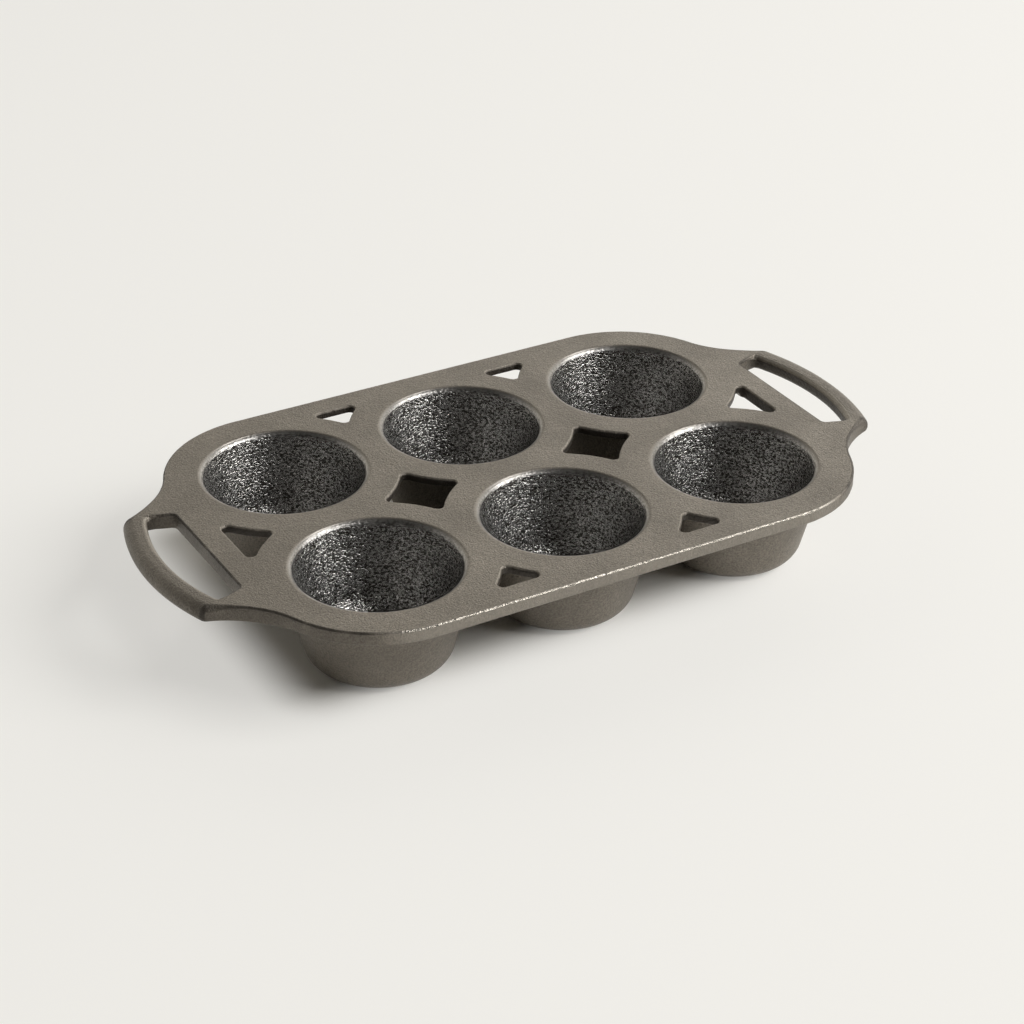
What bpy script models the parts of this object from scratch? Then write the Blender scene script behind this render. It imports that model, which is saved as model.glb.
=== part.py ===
"""Cast-iron muffin pan: a flat web with two rows of cups, pierced by small windows, with a loop
handle at each end. Metres, +Z up, +X along the long side, origin under the middle on the floor."""
import math

import bmesh
import bpy

# Driving dimensions
HEIGHT = 0.0505             # floor to the top face of the deck
DECK_THICKNESS = 0.0066     # at the rim
WEB_THICKNESS = 0.0042      # inside the rim, where the underside is relieved
BRIDGE_X = 0.020            # between the mouths of two cups in a row
BRIDGE_Y = 0.020            # between the mouths of the two rows
COLUMN_NAMES = ("left", "middle", "right")
ROW_NAMES = ("front", "back")
SEAM = 0.0003               # clearance between pieces that meet

# Cup
MOUTH_RADIUS = 0.040        # inside of the wall, just under the lip
LIP_ROUNDING = 0.003
COLLAR_WALL = 0.0044        # from the mouth to the outside of the wall, where it passes the deck
BASE_RADIUS = 0.0245        # flat that stands on the floor
BASE_ROUNDING = 0.012       # outside, from the flat to the wall
FLOOR_THICKNESS = 0.0045
FLOOR_ROUNDING = 0.009      # inside, from the floor to the wall
SHOULDER_WIDTH = 0.003      # fillet that backs the joint with the deck from below
SHOULDER_EDGE = 0.0007      # thickness of the shoulder at its rim

# Deck
SIDE_MARGIN = 0.0164        # from the lip of a cup to the long edge
END_MARGIN = 0.0208         # from the lip of a cup to the wall of the handle's opening
RING_WIDTH = 0.0145         # metal left between a lip and a window
BAND_WIDTH = 0.0134         # metal left between a window and the outer edge
RIM_WIDTH = 0.0065          # full thickness kept along the sides, round the relief
END_RIM_WIDTH = 0.0152      # full thickness kept at each end
RELIEF_SLOPE = 0.0012       # run of the sloped wall of the relief
RELIEF_ROUNDING = 0.003
WINDOW_ROUNDING = 0.0028    # window corners in plan
EDGE_ROUNDING = 0.0016      # upper edge of the deck and of its openings
UNDER_CHAMFER = 0.0006      # lower edge of the deck and of the finger openings

# Handle
HANDLE_REACH = 0.0317       # from the wall of the opening to the outside of the grip
ROOT_DEPTH = 0.0080         # depth of the casting where a horn leaves the deck
ROOT_RUN = 0.0135           # stretch over which the deck deepens towards a handle
GRIP_WIDTH = 0.0107
GRIP_DEPTH = 0.0083
GRIP_INNER_ROUNDING = 0.0025   # upper inner edge
GRIP_UNDER_ROUNDING = 0.0027   # both lower edges
GRIP_SIDE_FLAT = 0.0003        # left on the outer side between its two roundings
GRIP_OUTER_BOW = 0.132      # radius of the grip's outer side in plan
GRIP_INNER_BOW = 0.110      # radius of the grip's inner side in plan
OPENING_HALF_LENGTH = 0.0378   # at the deck
OPENING_FLARE = math.radians(18)   # the opening widens towards the grip
OPENING_ROUNDING = 0.003
HORN_SWEEP = 0.048          # radius of the hollow side of a horn
HORN_HALF_SPAN = 0.0443     # where that side would run out parallel to the pan
HORN_NOSE = 0.004           # rounding of a horn's tip
HORN_ROOT = 0.0034          # length of horn that belongs to the deck

# Facets
CUP_SEGMENTS = 44
BLANK_STEPS = 8             # to each long arc of the deck's outline
ARC_STEPS = 5
CORNER_STEPS = 3
EDGE_STEPS = 2
ROUNDING_STEPS = 3
HORN_STEPS = 5              # stretches of a handle, from its seam to the middle of the grip
NOSE_STEPS = 5
GRIP_STEPS = 7
SMOOTH_ANGLE = math.radians(35)   # facets that meet at less than this are shaded as one
MERGE_DISTANCE = 0.00001
METALLIC = 0.35             # dull, oxidised iron

# Worked out from the driving dimensions
CUP_PITCH_X = 2 * MOUTH_RADIUS + BRIDGE_X   # spacing of the cups along a row
CUP_PITCH_Y = 2 * MOUTH_RADIUS + BRIDGE_Y   # spacing of the two rows
LIP_RADIUS = MOUTH_RADIUS + LIP_ROUNDING
COLLAR_RADIUS = MOUTH_RADIUS + COLLAR_WALL
SEAT_RADIUS = COLLAR_RADIUS + SEAM
SHOULDER_RADIUS = COLLAR_RADIUS + SHOULDER_WIDTH
RING_RADIUS = LIP_RADIUS + RING_WIDTH
CORNER_RADIUS = LIP_RADIUS + SIDE_MARGIN
WEB_UNDERSIDE = HEIGHT - WEB_THICKNESS
LAST_CUP_X = (len(COLUMN_NAMES) - 1) * CUP_PITCH_X / 2
LAST_CUP_Y = (len(ROW_NAMES) - 1) * CUP_PITCH_Y / 2
HALF_DEPTH = LAST_CUP_Y + CORNER_RADIUS
END_WALL_X = LAST_CUP_X + LIP_RADIUS + END_MARGIN
SEAM_X = END_WALL_X + HORN_ROOT
TIP_X = END_WALL_X + HANDLE_REACH
GRIP_OUTER_ROUNDING = GRIP_DEPTH - GRIP_UNDER_ROUNDING - GRIP_SIDE_FLAT   # where the palm bears
CLEAR = 0.02                # how far a cutter stands proud of what it cuts


class Line:
    """One straight side of a region: normal points out of the region, offset is its distance."""

    def __init__(self, normal_angle, offset):
        self.nx, self.ny, self.offset = math.cos(normal_angle), math.sin(normal_angle), offset

    def grown(self, amount):
        angle = math.atan2(self.ny, self.nx)
        return Line(angle, self.offset + amount)

    def foot(self, point):
        gap = self.nx * point[0] + self.ny * point[1] - self.offset
        return (point[0] - gap * self.nx, point[1] - gap * self.ny)


class Arc:
    """One round side of a region, which lies inside the circle (bulge=1) or outside it (-1)."""

    def __init__(self, centre, radius, bulge):
        self.centre, self.radius, self.bulge = centre, radius, bulge

    def grown(self, amount):
        return Arc(self.centre, self.radius + self.bulge * amount, self.bulge)

    def foot(self, point):
        dx, dy = point[0] - self.centre[0], point[1] - self.centre[1]
        scale = self.radius / math.hypot(dx, dy)
        return (self.centre[0] + dx * scale, self.centre[1] + dy * scale)


def crossing(first, second, near):
    """The point where two sides cross that lies nearest to a rough place."""
    if isinstance(first, Line) and isinstance(second, Line):
        det = first.nx * second.ny - first.ny * second.nx
        x = (first.offset * second.ny - second.offset * first.ny) / det
        y = (first.nx * second.offset - second.nx * first.offset) / det
        return (x, y)
    if isinstance(first, Arc) and isinstance(second, Arc):
        (ax, ay), (bx, by) = first.centre, second.centre
        span = math.hypot(bx - ax, by - ay)
        along = (first.radius ** 2 - second.radius ** 2 + span ** 2) / (2 * span)
        direction = ((bx - ax) / span, (by - ay) / span)
        arc = first
    else:
        arc, line = (first, second) if isinstance(first, Arc) else (second, first)
        ax, ay = arc.centre
        along = line.offset - line.nx * ax - line.ny * ay
        direction = (line.nx, line.ny)
    reach = math.sqrt(max(arc.radius ** 2 - along ** 2, 0.0))
    middle = (ax + along * direction[0], ay + along * direction[1])
    found = [(middle[0] - side * reach * direction[1], middle[1] + side * reach * direction[0])
             for side in (-1, 1)]
    return min(found, key=lambda point: math.dist(point, near))


def sweep_points(centre, start, end, steps, turn):
    """Points on a circle from start to end; turn=1 runs counter-clockwise, -1 clockwise."""
    a0 = math.atan2(start[1] - centre[1], start[0] - centre[0])
    a1 = math.atan2(end[1] - centre[1], end[0] - centre[0])
    span = (turn * (a1 - a0) + math.pi) % (2 * math.pi) - math.pi
    radius = math.dist(centre, start)
    return [(centre[0] + radius * math.cos(a0 + turn * span * i / steps),
             centre[1] + radius * math.sin(a0 + turn * span * i / steps)) for i in range(steps + 1)]


def side_points(side, start, end, steps):
    if isinstance(side, Line):
        return [start, end]
    return sweep_points(side.centre, start, end, steps, side.bulge)


def outline(sides, corners, grow, arc_steps=ARC_STEPS):
    """Counter-clockwise loop of a region. corners[i] joins side i to the next one and is
    (rough place, radius): a positive radius rounds a corner that points out, and 0 means that
    the two sides run into each other smoothly. The region can be grown without changing the
    number of points."""
    count = len(sides)
    starts, ends, fillets = [None] * count, [None] * count, [None] * count
    for i, (near, radius) in enumerate(corners):
        j = (i + 1) % count
        if radius == 0:
            meet = crossing(sides[i].grown(grow), sides[j].grown(grow), near)
            ends[i], starts[j] = meet, meet
            continue
        centre = crossing(sides[i].grown(-radius), sides[j].grown(-radius), near)
        ends[i] = sides[i].grown(grow).foot(centre)
        starts[j] = sides[j].grown(grow).foot(centre)
        fillets[i] = sweep_points(centre, ends[i], starts[j], CORNER_STEPS, 1)
    loop = []
    for i, side in enumerate(sides):
        loop += side_points(side.grown(grow), starts[i], ends[i], arc_steps)[:-1]
        loop += fillets[i][:-1] if fillets[i] else []
    return loop


def ease(value):
    """Smooth step from 0 to 1."""
    value = min(max(value, 0.0), 1.0)
    return value * value * (3 - 2 * value)


def underside(x):
    """Height of the rim's lower face, which sinks towards the handles."""
    deeper = ease((abs(x) - END_WALL_X + ROOT_RUN) / ROOT_RUN)
    return HEIGHT - DECK_THICKNESS - (ROOT_DEPTH - DECK_THICKNESS) * deeper


def link(obj):
    bpy.context.scene.collection.objects.link(obj)
    return obj


def from_bmesh(name, mesh):
    data = bpy.data.meshes.new(name)
    mesh.to_mesh(data)
    mesh.free()
    return link(bpy.data.objects.new(name, data))


def stacked(rings):
    """Walls through a stack of loops, each a list of (x, y, z), from the bottom up."""
    mesh = bmesh.new()
    layers = [[mesh.verts.new(point) for point in ring] for ring in rings]
    count = len(layers[0])
    for low, high in zip(layers, layers[1:]):
        for i in range(count):
            j = (i + 1) % count
            mesh.faces.new((low[i], low[j], high[j], high[i]))
    return mesh, layers


def body_from_rings(name, rings):
    """A closed body through a stack of loops, with flat ends."""
    mesh, layers = stacked(rings)
    mesh.faces.new(list(reversed(layers[0])))
    mesh.faces.new(layers[-1])
    return from_bmesh(name, mesh)


def flat_ring(loop, z):
    return [(x, y, z) for x, y in loop]


def upper_edge(shape, side):
    """Rings of a rounded upper edge: side=-1 draws the outline in, 1 flares it out."""
    for i in range(EDGE_STEPS + 1):
        angle = math.pi / 2 * i / EDGE_STEPS
        spread = side * EDGE_ROUNDING * (1 - math.cos(angle))
        yield flat_ring(shape(spread), HEIGHT - EDGE_ROUNDING * (1 - math.sin(angle)))


def lower_ring(shape, grow, lift):
    """The outline at the rim's lower face, or lift above it."""
    return [(x, y, underside(x) + lift) for x, y in shape(grow)]


def slab(name):
    """The deck's plate: the blank with its upper edge rounded and the lower one broken. Its
    caps are strips between mirrored points, so the sloping lower face stays true."""
    rings = [lower_ring(blank_shape, -UNDER_CHAMFER, 0.0), lower_ring(blank_shape, 0.0, UNDER_CHAMFER)]
    rings += upper_edge(blank_shape, -1)
    mesh, layers = stacked(rings)
    count = len(rings[0])
    first, last = (BLANK_STEPS + 1) // 2, (BLANK_STEPS + count) // 2
    for ring, order in ((layers[0], -1), (layers[-1], 1)):
        for i in range(first, last):
            mirror = (BLANK_STEPS - i) % count
            strip = dict.fromkeys((ring[i], ring[i + 1], ring[mirror - 1], ring[mirror]))
            mesh.faces.new(list(strip)[::order])
    return from_bmesh(name, mesh)


def opening_cutter(name, shape):
    """A through cutter for a finger opening: its flared ends leave the edges eased."""
    rings = [flat_ring(shape(UNDER_CHAMFER), HEIGHT - ROOT_DEPTH - CLEAR),
             lower_ring(shape, UNDER_CHAMFER, 0.0), lower_ring(shape, 0.0, UNDER_CHAMFER)]
    rings += upper_edge(shape, 1)
    rings.append(flat_ring(shape(EDGE_ROUNDING), HEIGHT + CLEAR))
    return body_from_rings(name, rings)


def window_cutter(name, shape):
    """A through cutter for a window, whose flared top leaves the edge rounded."""
    rings = [flat_ring(shape(0.0), HEIGHT - ROOT_DEPTH - CLEAR)]
    rings += upper_edge(shape, 1)
    rings.append(flat_ring(shape(EDGE_ROUNDING), HEIGHT + CLEAR))
    return body_from_rings(name, rings)


def cut(target, cutter):
    """Take one body out of another, and keep the cutter as a hidden guide."""
    cutter.hide_render = True
    cutter.display_type = "WIRE"
    modifier = target.modifiers.new(cutter.name, "BOOLEAN")
    modifier.operation = "DIFFERENCE"
    modifier.solver = "EXACT"
    modifier.object = cutter


def material(name, color, roughness):
    made = bpy.data.materials.new(name)
    made.use_nodes = True
    shader = made.node_tree.nodes["Principled BSDF"]
    shader.inputs["Base Color"].default_value = (*color, 1.0)
    shader.inputs["Roughness"].default_value = roughness
    shader.inputs["Metallic"].default_value = METALLIC
    return made


def finish(obj, iron):
    """Smooth round stretches, keep real edges crisp, and give the piece its iron."""
    obj.data.materials.clear()
    obj.data.materials.append(iron)
    obj.data.shade_smooth()
    obj.data.set_sharp_from_angle(angle=SMOOTH_ANGLE)
    return obj


def cup_places():
    """Name and centre of every cup, row by row."""
    for r, row in enumerate(ROW_NAMES):
        for c, column in enumerate(COLUMN_NAMES):
            yield f"cup_{row}_{column}", (c * CUP_PITCH_X - LAST_CUP_X, r * CUP_PITCH_Y - LAST_CUP_Y)


def wall_draft(centre, radius, top):
    """Lean from the vertical of the wall that leaves a bottom rounding and ends at top."""
    dx, dz = top[0] - centre[0], top[1] - centre[1]
    return math.atan2(dx, dz) - math.asin(radius / math.hypot(dx, dz))


def rounding_points(centre, radius, first, last):
    """Points (distance from the axis, height); 0 points outwards, -90 degrees straight down."""
    for i in range(ROUNDING_STEPS + 1):
        angle = first + (last - first) * i / ROUNDING_STEPS
        yield (centre[0] + radius * math.cos(angle), centre[1] + radius * math.sin(angle))


def cup_profile():
    """Half section of a cup: up the inside from the floor, over the lip, down the outside."""
    down, up = -math.pi / 2, math.pi / 2
    shoulder_z = WEB_UNDERSIDE - SEAM
    wall_top = (COLLAR_RADIUS, WEB_UNDERSIDE - SHOULDER_WIDTH)
    base = (BASE_RADIUS, BASE_ROUNDING)
    draft = wall_draft(base, BASE_ROUNDING, wall_top)
    lip = (LIP_RADIUS, HEIGHT - LIP_ROUNDING)
    # The inner wall has the draft of the outer one and runs into the lip without a kink.
    lip_foot = (lip[0] - LIP_ROUNDING * math.cos(draft), lip[1] + LIP_ROUNDING * math.sin(draft))
    floor_z = FLOOR_THICKNESS + FLOOR_ROUNDING
    fall = lip_foot[1] - (floor_z - FLOOR_ROUNDING * math.sin(draft))
    floor_x = lip_foot[0] - fall * math.tan(draft) - FLOOR_ROUNDING * math.cos(draft)
    points = [(0.0, FLOOR_THICKNESS)]
    points += rounding_points((floor_x, floor_z), FLOOR_ROUNDING, down, -draft)
    points += rounding_points(lip, LIP_ROUNDING, math.pi - draft, up)
    points += [(COLLAR_RADIUS, HEIGHT), (COLLAR_RADIUS, shoulder_z), (SHOULDER_RADIUS, shoulder_z)]
    fillet_height = shoulder_z - SHOULDER_EDGE - wall_top[1]
    points += [(SHOULDER_RADIUS - SHOULDER_WIDTH * math.sin(a), wall_top[1] + fillet_height * math.cos(a))
               for a in (0.0, math.pi / 4, math.pi / 2)]
    points += rounding_points(base, BASE_ROUNDING, -draft, down)
    points.append((0.0, 0.0))
    return points


def cup_mesh():
    """The profile turned about the cup's axis."""
    mesh = bmesh.new()
    verts = [mesh.verts.new((x, 0.0, z)) for x, z in cup_profile()]
    for a, b in zip(verts, verts[1:]):
        mesh.edges.new((a, b))
    data = bpy.data.meshes.new("cup")
    mesh.to_mesh(data)
    mesh.free()
    return data


def make_cup(name, centre, data, iron):
    cup = link(bpy.data.objects.new(name, data))
    cup.location = (*centre, 0.0)
    screw = cup.modifiers.new("Turned", "SCREW")
    screw.axis = "Z"
    screw.steps = CUP_SEGMENTS
    screw.render_steps = CUP_SEGMENTS
    screw.use_merge_vertices = True
    screw.merge_threshold = MERGE_DISTANCE
    screw.use_smooth_shade = True
    return finish(cup, iron)


def corner_sides():
    """Sides of the blank at its +X, +Y corner, counter-clockwise, ending on the long edge."""
    cup = (LAST_CUP_X, LAST_CUP_Y)
    sweep_y = HORN_HALF_SPAN + HORN_SWEEP
    reach = CORNER_RADIUS + HORN_SWEEP
    sweep_x = cup[0] + math.sqrt(reach ** 2 - (sweep_y - cup[1]) ** 2)
    grip = Arc((TIP_X - GRIP_OUTER_BOW, 0.0), GRIP_OUTER_BOW, 1)
    hollow = Arc((sweep_x, sweep_y), HORN_SWEEP, -1)
    corner = Arc(cup, CORNER_RADIUS, 1)
    return grip, hollow, corner


def mirrored(side, across_x):
    """A side reflected in the plane x=0 (across_x) or y=0."""
    sx, sy = (-1, 1) if across_x else (1, -1)
    if isinstance(side, Arc):
        return Arc((sx * side.centre[0], sy * side.centre[1]), side.radius, side.bulge)
    return Line(math.atan2(sy * side.ny, sx * side.nx), side.offset)


def blank_shape(grow):
    """Outline of the whole pan in plan, handles included."""
    grip, hollow, corner = corner_sides()
    edge = Line(math.pi / 2, HALF_DEPTH)
    tangent = crossing(hollow, corner, corner.foot(hollow.centre))
    nose = crossing(grip, hollow, (TIP_X, HORN_HALF_SPAN))
    far_end = (LAST_CUP_X, HALF_DEPTH)
    sides, corners = [grip], []

    def add(side, near, radius):
        corners.append((near, radius))
        sides.append(side)

    def flip(point, across_x):
        return (-point[0], point[1]) if across_x else (point[0], -point[1])

    add(hollow, nose, HORN_NOSE)
    add(corner, tangent, 0)
    add(edge, far_end, 0)
    add(mirrored(corner, True), flip(far_end, True), 0)
    add(mirrored(hollow, True), flip(tangent, True), 0)
    add(mirrored(grip, True), flip(nose, True), HORN_NOSE)
    add(mirrored(mirrored(hollow, True), False), flip(flip(nose, True), False), HORN_NOSE)
    add(mirrored(mirrored(corner, True), False), flip(flip(tangent, True), False), 0)
    add(mirrored(edge, False), flip(flip(far_end, True), False), 0)
    add(mirrored(corner, False), flip(far_end, False), 0)
    add(mirrored(hollow, False), flip(tangent, False), 0)
    corners.append((flip(nose, False), HORN_NOSE))
    return outline(sides, corners, grow, BLANK_STEPS)


def opening_sides():
    """Sides of the finger opening of the +X handle: deck wall, lower end, grip, upper end."""
    wall = Line(math.pi, -END_WALL_X)
    normal = math.pi / 2 + OPENING_FLARE
    offset = END_WALL_X * math.cos(normal) + OPENING_HALF_LENGTH * math.sin(normal)
    upper = Line(normal, offset)
    lower = mirrored(upper, False)
    inner_x = TIP_X - GRIP_WIDTH
    grip = Arc((inner_x - GRIP_INNER_BOW, 0.0), GRIP_INNER_BOW, 1)
    return wall, lower, grip, upper


def opening_shape(grow):
    wall, lower, grip, upper = opening_sides()
    outer = crossing(grip, upper, (TIP_X, OPENING_HALF_LENGTH))
    corners = [((END_WALL_X, -OPENING_HALF_LENGTH), OPENING_ROUNDING),
               ((outer[0], -outer[1]), OPENING_ROUNDING),
               (outer, OPENING_ROUNDING),
               ((END_WALL_X, OPENING_HALF_LENGTH), OPENING_ROUNDING)]
    return outline([wall, lower, grip, upper], corners, grow)


def diamond_shape(centre_x):
    """Window between four cups, bounded by the rings about them."""
    def shape(grow):
        right, left = centre_x + CUP_PITCH_X / 2, centre_x - CUP_PITCH_X / 2
        places = [(right, LAST_CUP_Y), (left, LAST_CUP_Y), (left, -LAST_CUP_Y), (right, -LAST_CUP_Y)]
        sides = [Arc(place, RING_RADIUS, -1) for place in places]
        reach_x = CUP_PITCH_X / 2 - math.sqrt(RING_RADIUS ** 2 - LAST_CUP_Y ** 2)
        reach_y = LAST_CUP_Y - math.sqrt(RING_RADIUS ** 2 - (CUP_PITCH_X / 2) ** 2)
        tips = [(centre_x, reach_y), (centre_x - reach_x, 0.0), (centre_x, -reach_y), (centre_x + reach_x, 0.0)]
        return outline(sides, [(tip, WINDOW_ROUNDING) for tip in tips], grow)
    return shape


def triangle_shape(line, first, second):
    """Window between a straight band and the rings about two cups, counter-clockwise:
    the band, then the ring about first, then the ring about second."""
    def shape(grow):
        one, two = Arc(first, RING_RADIUS, -1), Arc(second, RING_RADIUS, -1)
        middle = ((first[0] + second[0]) / 2, (first[1] + second[1]) / 2)
        base = line.foot(middle)
        apex = crossing(one, two, base)
        end_one, end_two = crossing(line, one, base), crossing(line, two, base)
        sides = [line, one, two]
        corners = [(end_one, WINDOW_ROUNDING), (apex, WINDOW_ROUNDING), (end_two, WINDOW_ROUNDING)]
        return outline(sides, corners, grow)
    return shape


def window_shapes():
    """Every window of the deck: diamonds down the middle, triangles along all four sides."""
    shapes = []
    band_y, band_x = HALF_DEPTH - BAND_WIDTH, END_WALL_X - BAND_WIDTH
    for c in range(len(COLUMN_NAMES) - 1):
        left, right = c * CUP_PITCH_X - LAST_CUP_X, (c + 1) * CUP_PITCH_X - LAST_CUP_X
        shapes.append(diamond_shape((left + right) / 2))
        back = Line(math.pi / 2, band_y)
        shapes.append(triangle_shape(back, (left, LAST_CUP_Y), (right, LAST_CUP_Y)))
        front = Line(-math.pi / 2, band_y)
        shapes.append(triangle_shape(front, (right, -LAST_CUP_Y), (left, -LAST_CUP_Y)))
    right_end, left_end = Line(0.0, band_x), Line(math.pi, band_x)
    shapes.append(triangle_shape(right_end, (LAST_CUP_X, LAST_CUP_Y), (LAST_CUP_X, -LAST_CUP_Y)))
    shapes.append(triangle_shape(left_end, (-LAST_CUP_X, -LAST_CUP_Y), (-LAST_CUP_X, LAST_CUP_Y)))
    return shapes


def circle(centre, radius):
    return [(centre[0] + radius * math.cos(2 * math.pi * i / CUP_SEGMENTS),
             centre[1] + radius * math.sin(2 * math.pi * i / CUP_SEGMENTS)) for i in range(CUP_SEGMENTS)]


def seat_cutter(name, centre):
    """The hole that a cup's collar passes through, and below it the room for its shoulder."""
    wide, narrow = circle(centre, SHOULDER_RADIUS + SEAM), circle(centre, SEAT_RADIUS)
    return body_from_rings(name, [flat_ring(wide, HEIGHT - ROOT_DEPTH - CLEAR), flat_ring(wide, WEB_UNDERSIDE),
                                  flat_ring(narrow, WEB_UNDERSIDE), flat_ring(narrow, HEIGHT + CLEAR)])


def relief_shape(grow):
    """Outline of the relieved underside, inside the rim."""
    long_side = Line(math.pi / 2, HALF_DEPTH - RIM_WIDTH)
    end = Line(0.0, END_WALL_X - END_RIM_WIDTH)
    corner = Arc((LAST_CUP_X, LAST_CUP_Y), CORNER_RADIUS - RIM_WIDTH, 1)
    meet = crossing(end, corner, (END_WALL_X, HALF_DEPTH))
    side_end = (LAST_CUP_X, HALF_DEPTH)
    sides = [end, corner, long_side, mirrored(corner, True), mirrored(end, True),
             mirrored(mirrored(corner, True), False), mirrored(long_side, False), mirrored(corner, False)]
    corners = [(meet, RELIEF_ROUNDING), (side_end, 0), ((-side_end[0], side_end[1]), 0),
               ((-meet[0], meet[1]), RELIEF_ROUNDING), ((-meet[0], -meet[1]), RELIEF_ROUNDING),
               ((-side_end[0], -side_end[1]), 0), ((side_end[0], -side_end[1]), 0),
               ((meet[0], -meet[1]), RELIEF_ROUNDING)]
    return outline(sides, corners, grow)


def relief_cutter(name):
    rings = [flat_ring(relief_shape(RELIEF_SLOPE), HEIGHT - ROOT_DEPTH - CLEAR),
             flat_ring(relief_shape(RELIEF_SLOPE), HEIGHT - DECK_THICKNESS),
             flat_ring(relief_shape(0.0), WEB_UNDERSIDE)]
    return body_from_rings(name, rings)


def box_cutter(name, low_x, high_x):
    half = HALF_DEPTH + CLEAR
    ring = [(low_x, -half), (high_x, -half), (high_x, half), (low_x, half)]
    return body_from_rings(name, [flat_ring(ring, HEIGHT - ROOT_DEPTH - CLEAR), flat_ring(ring, HEIGHT + CLEAR)])


def make_deck(iron):
    """The web between the cups, up to the seams with the handles."""
    deck = slab("deck")
    cut(deck, relief_cutter("relief_cutter"))
    for name, centre in cup_places():
        cut(deck, seat_cutter(f"seat_for_{name}", centre))
    for i, shape in enumerate(window_shapes()):
        cut(deck, window_cutter(f"window_cutter_{i}", shape))
    cut(deck, opening_cutter("opening_cutter_right", opening_shape))
    cut(deck, opening_cutter("opening_cutter_left", lambda grow: [(-x, -y) for x, y in opening_shape(grow)]))
    cut(deck, box_cutter("handle_space_right", SEAM_X, TIP_X + CLEAR))
    cut(deck, box_cutter("handle_space_left", -TIP_X - CLEAR, -SEAM_X))
    return finish(deck, iron)


def handle_rails():
    """Matching points of the handle's outer and inner side, from the seam at +Y to the one at
    -Y, with how far each section has turned from horn (0) into grip (1)."""
    grip, hollow, _ = corner_sides()
    _, _, inner_grip, end_wall = opening_sides()
    seam = Line(0.0, SEAM_X + SEAM)
    nose = crossing(grip.grown(-HORN_NOSE), hollow.grown(-HORN_NOSE), (TIP_X, HORN_HALF_SPAN))
    corner_near = crossing(inner_grip, end_wall, (TIP_X, OPENING_HALF_LENGTH))
    corner = crossing(inner_grip.grown(-OPENING_ROUNDING), end_wall.grown(-OPENING_ROUNDING), corner_near)
    outer_start = crossing(seam, hollow, (SEAM_X, HORN_HALF_SPAN))
    inner_start = crossing(seam, end_wall, (SEAM_X, OPENING_HALF_LENGTH))
    outer = sweep_points(hollow.centre, outer_start, hollow.foot(nose), HORN_STEPS, 1)[:-1]
    outer += sweep_points(nose, hollow.foot(nose), grip.foot(nose), NOSE_STEPS, -1)[:-1]
    outer += sweep_points(grip.centre, grip.foot(nose), (TIP_X, 0.0), GRIP_STEPS, -1)
    end_foot = end_wall.foot(corner)
    inner = [(inner_start[0] + (end_foot[0] - inner_start[0]) * i / HORN_STEPS,
              inner_start[1] + (end_foot[1] - inner_start[1]) * i / HORN_STEPS) for i in range(HORN_STEPS)]
    inner += sweep_points(corner, end_foot, inner_grip.foot(corner), NOSE_STEPS, -1)[:-1]
    inner_middle = (TIP_X - GRIP_WIDTH, 0.0)
    inner += sweep_points(inner_grip.centre, inner_grip.foot(corner), inner_middle, GRIP_STEPS, -1)
    blend = [ease(i / (HORN_STEPS + NOSE_STEPS)) for i in range(len(outer))]
    rails = list(zip(outer, inner, blend))
    rails += [((ox, -oy), (ix, -iy), b) for (ox, oy), (ix, iy), b in reversed(rails[:-1])]
    return rails


def handle_section(outer, inner, blend):
    """Rounded upright section between an outer and an inner point."""
    def mixed(root, grip):
        return root + (grip - root) * blend

    width = math.dist(outer, inner)
    depth = mixed(ROOT_DEPTH, GRIP_DEPTH)
    low = mixed(UNDER_CHAMFER, GRIP_UNDER_ROUNDING)
    top_inner = mixed(EDGE_ROUNDING, GRIP_INNER_ROUNDING)
    top_outer = mixed(EDGE_ROUNDING, GRIP_OUTER_ROUNDING)
    across = ((outer[0] - inner[0]) / width, (outer[1] - inner[1]) / width)
    bottom = HEIGHT - depth
    section = []
    for from_inner, z, radius, first in ((low, bottom + low, low, math.pi),
                                         (width - low, bottom + low, low, math.pi * 1.5),
                                         (width - top_outer, HEIGHT - top_outer, top_outer, 0.0),
                                         (top_inner, HEIGHT - top_inner, top_inner, math.pi / 2)):
        for i in range(EDGE_STEPS + 1):
            angle = first + math.pi / 2 * i / EDGE_STEPS
            along = from_inner + radius * math.cos(angle)
            section.append((inner[0] + across[0] * along, inner[1] + across[1] * along,
                            z + radius * math.sin(angle)))
    return section


def handle_mesh():
    rings = [handle_section(*rail) for rail in handle_rails()]
    return body_from_rings("handle_right", rings)


def make_handles(iron):
    """The +X handle is lofted through its sections, and the other one is it turned about."""
    right = finish(handle_mesh(), iron)
    left = link(bpy.data.objects.new("handle_left", right.data))
    left.rotation_euler.z = math.pi
    return right, left


def clear_scene():
    for obj in list(bpy.data.objects):
        bpy.data.objects.remove(obj, do_unlink=True)


def main():
    clear_scene()
    make_deck(material("cast_deck", (0.185, 0.165, 0.140), 0.62))
    cup_iron = material("seasoned_cup", (0.035, 0.033, 0.031), 0.42)
    data = cup_mesh()
    for name, centre in cup_places():
        make_cup(name, centre, data, cup_iron)
    make_handles(material("cast_handle", (0.175, 0.156, 0.132), 0.58))


main()
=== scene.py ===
import math

import bpy
import numpy as np
from mathutils import Matrix, Vector, geometry, noise


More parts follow.
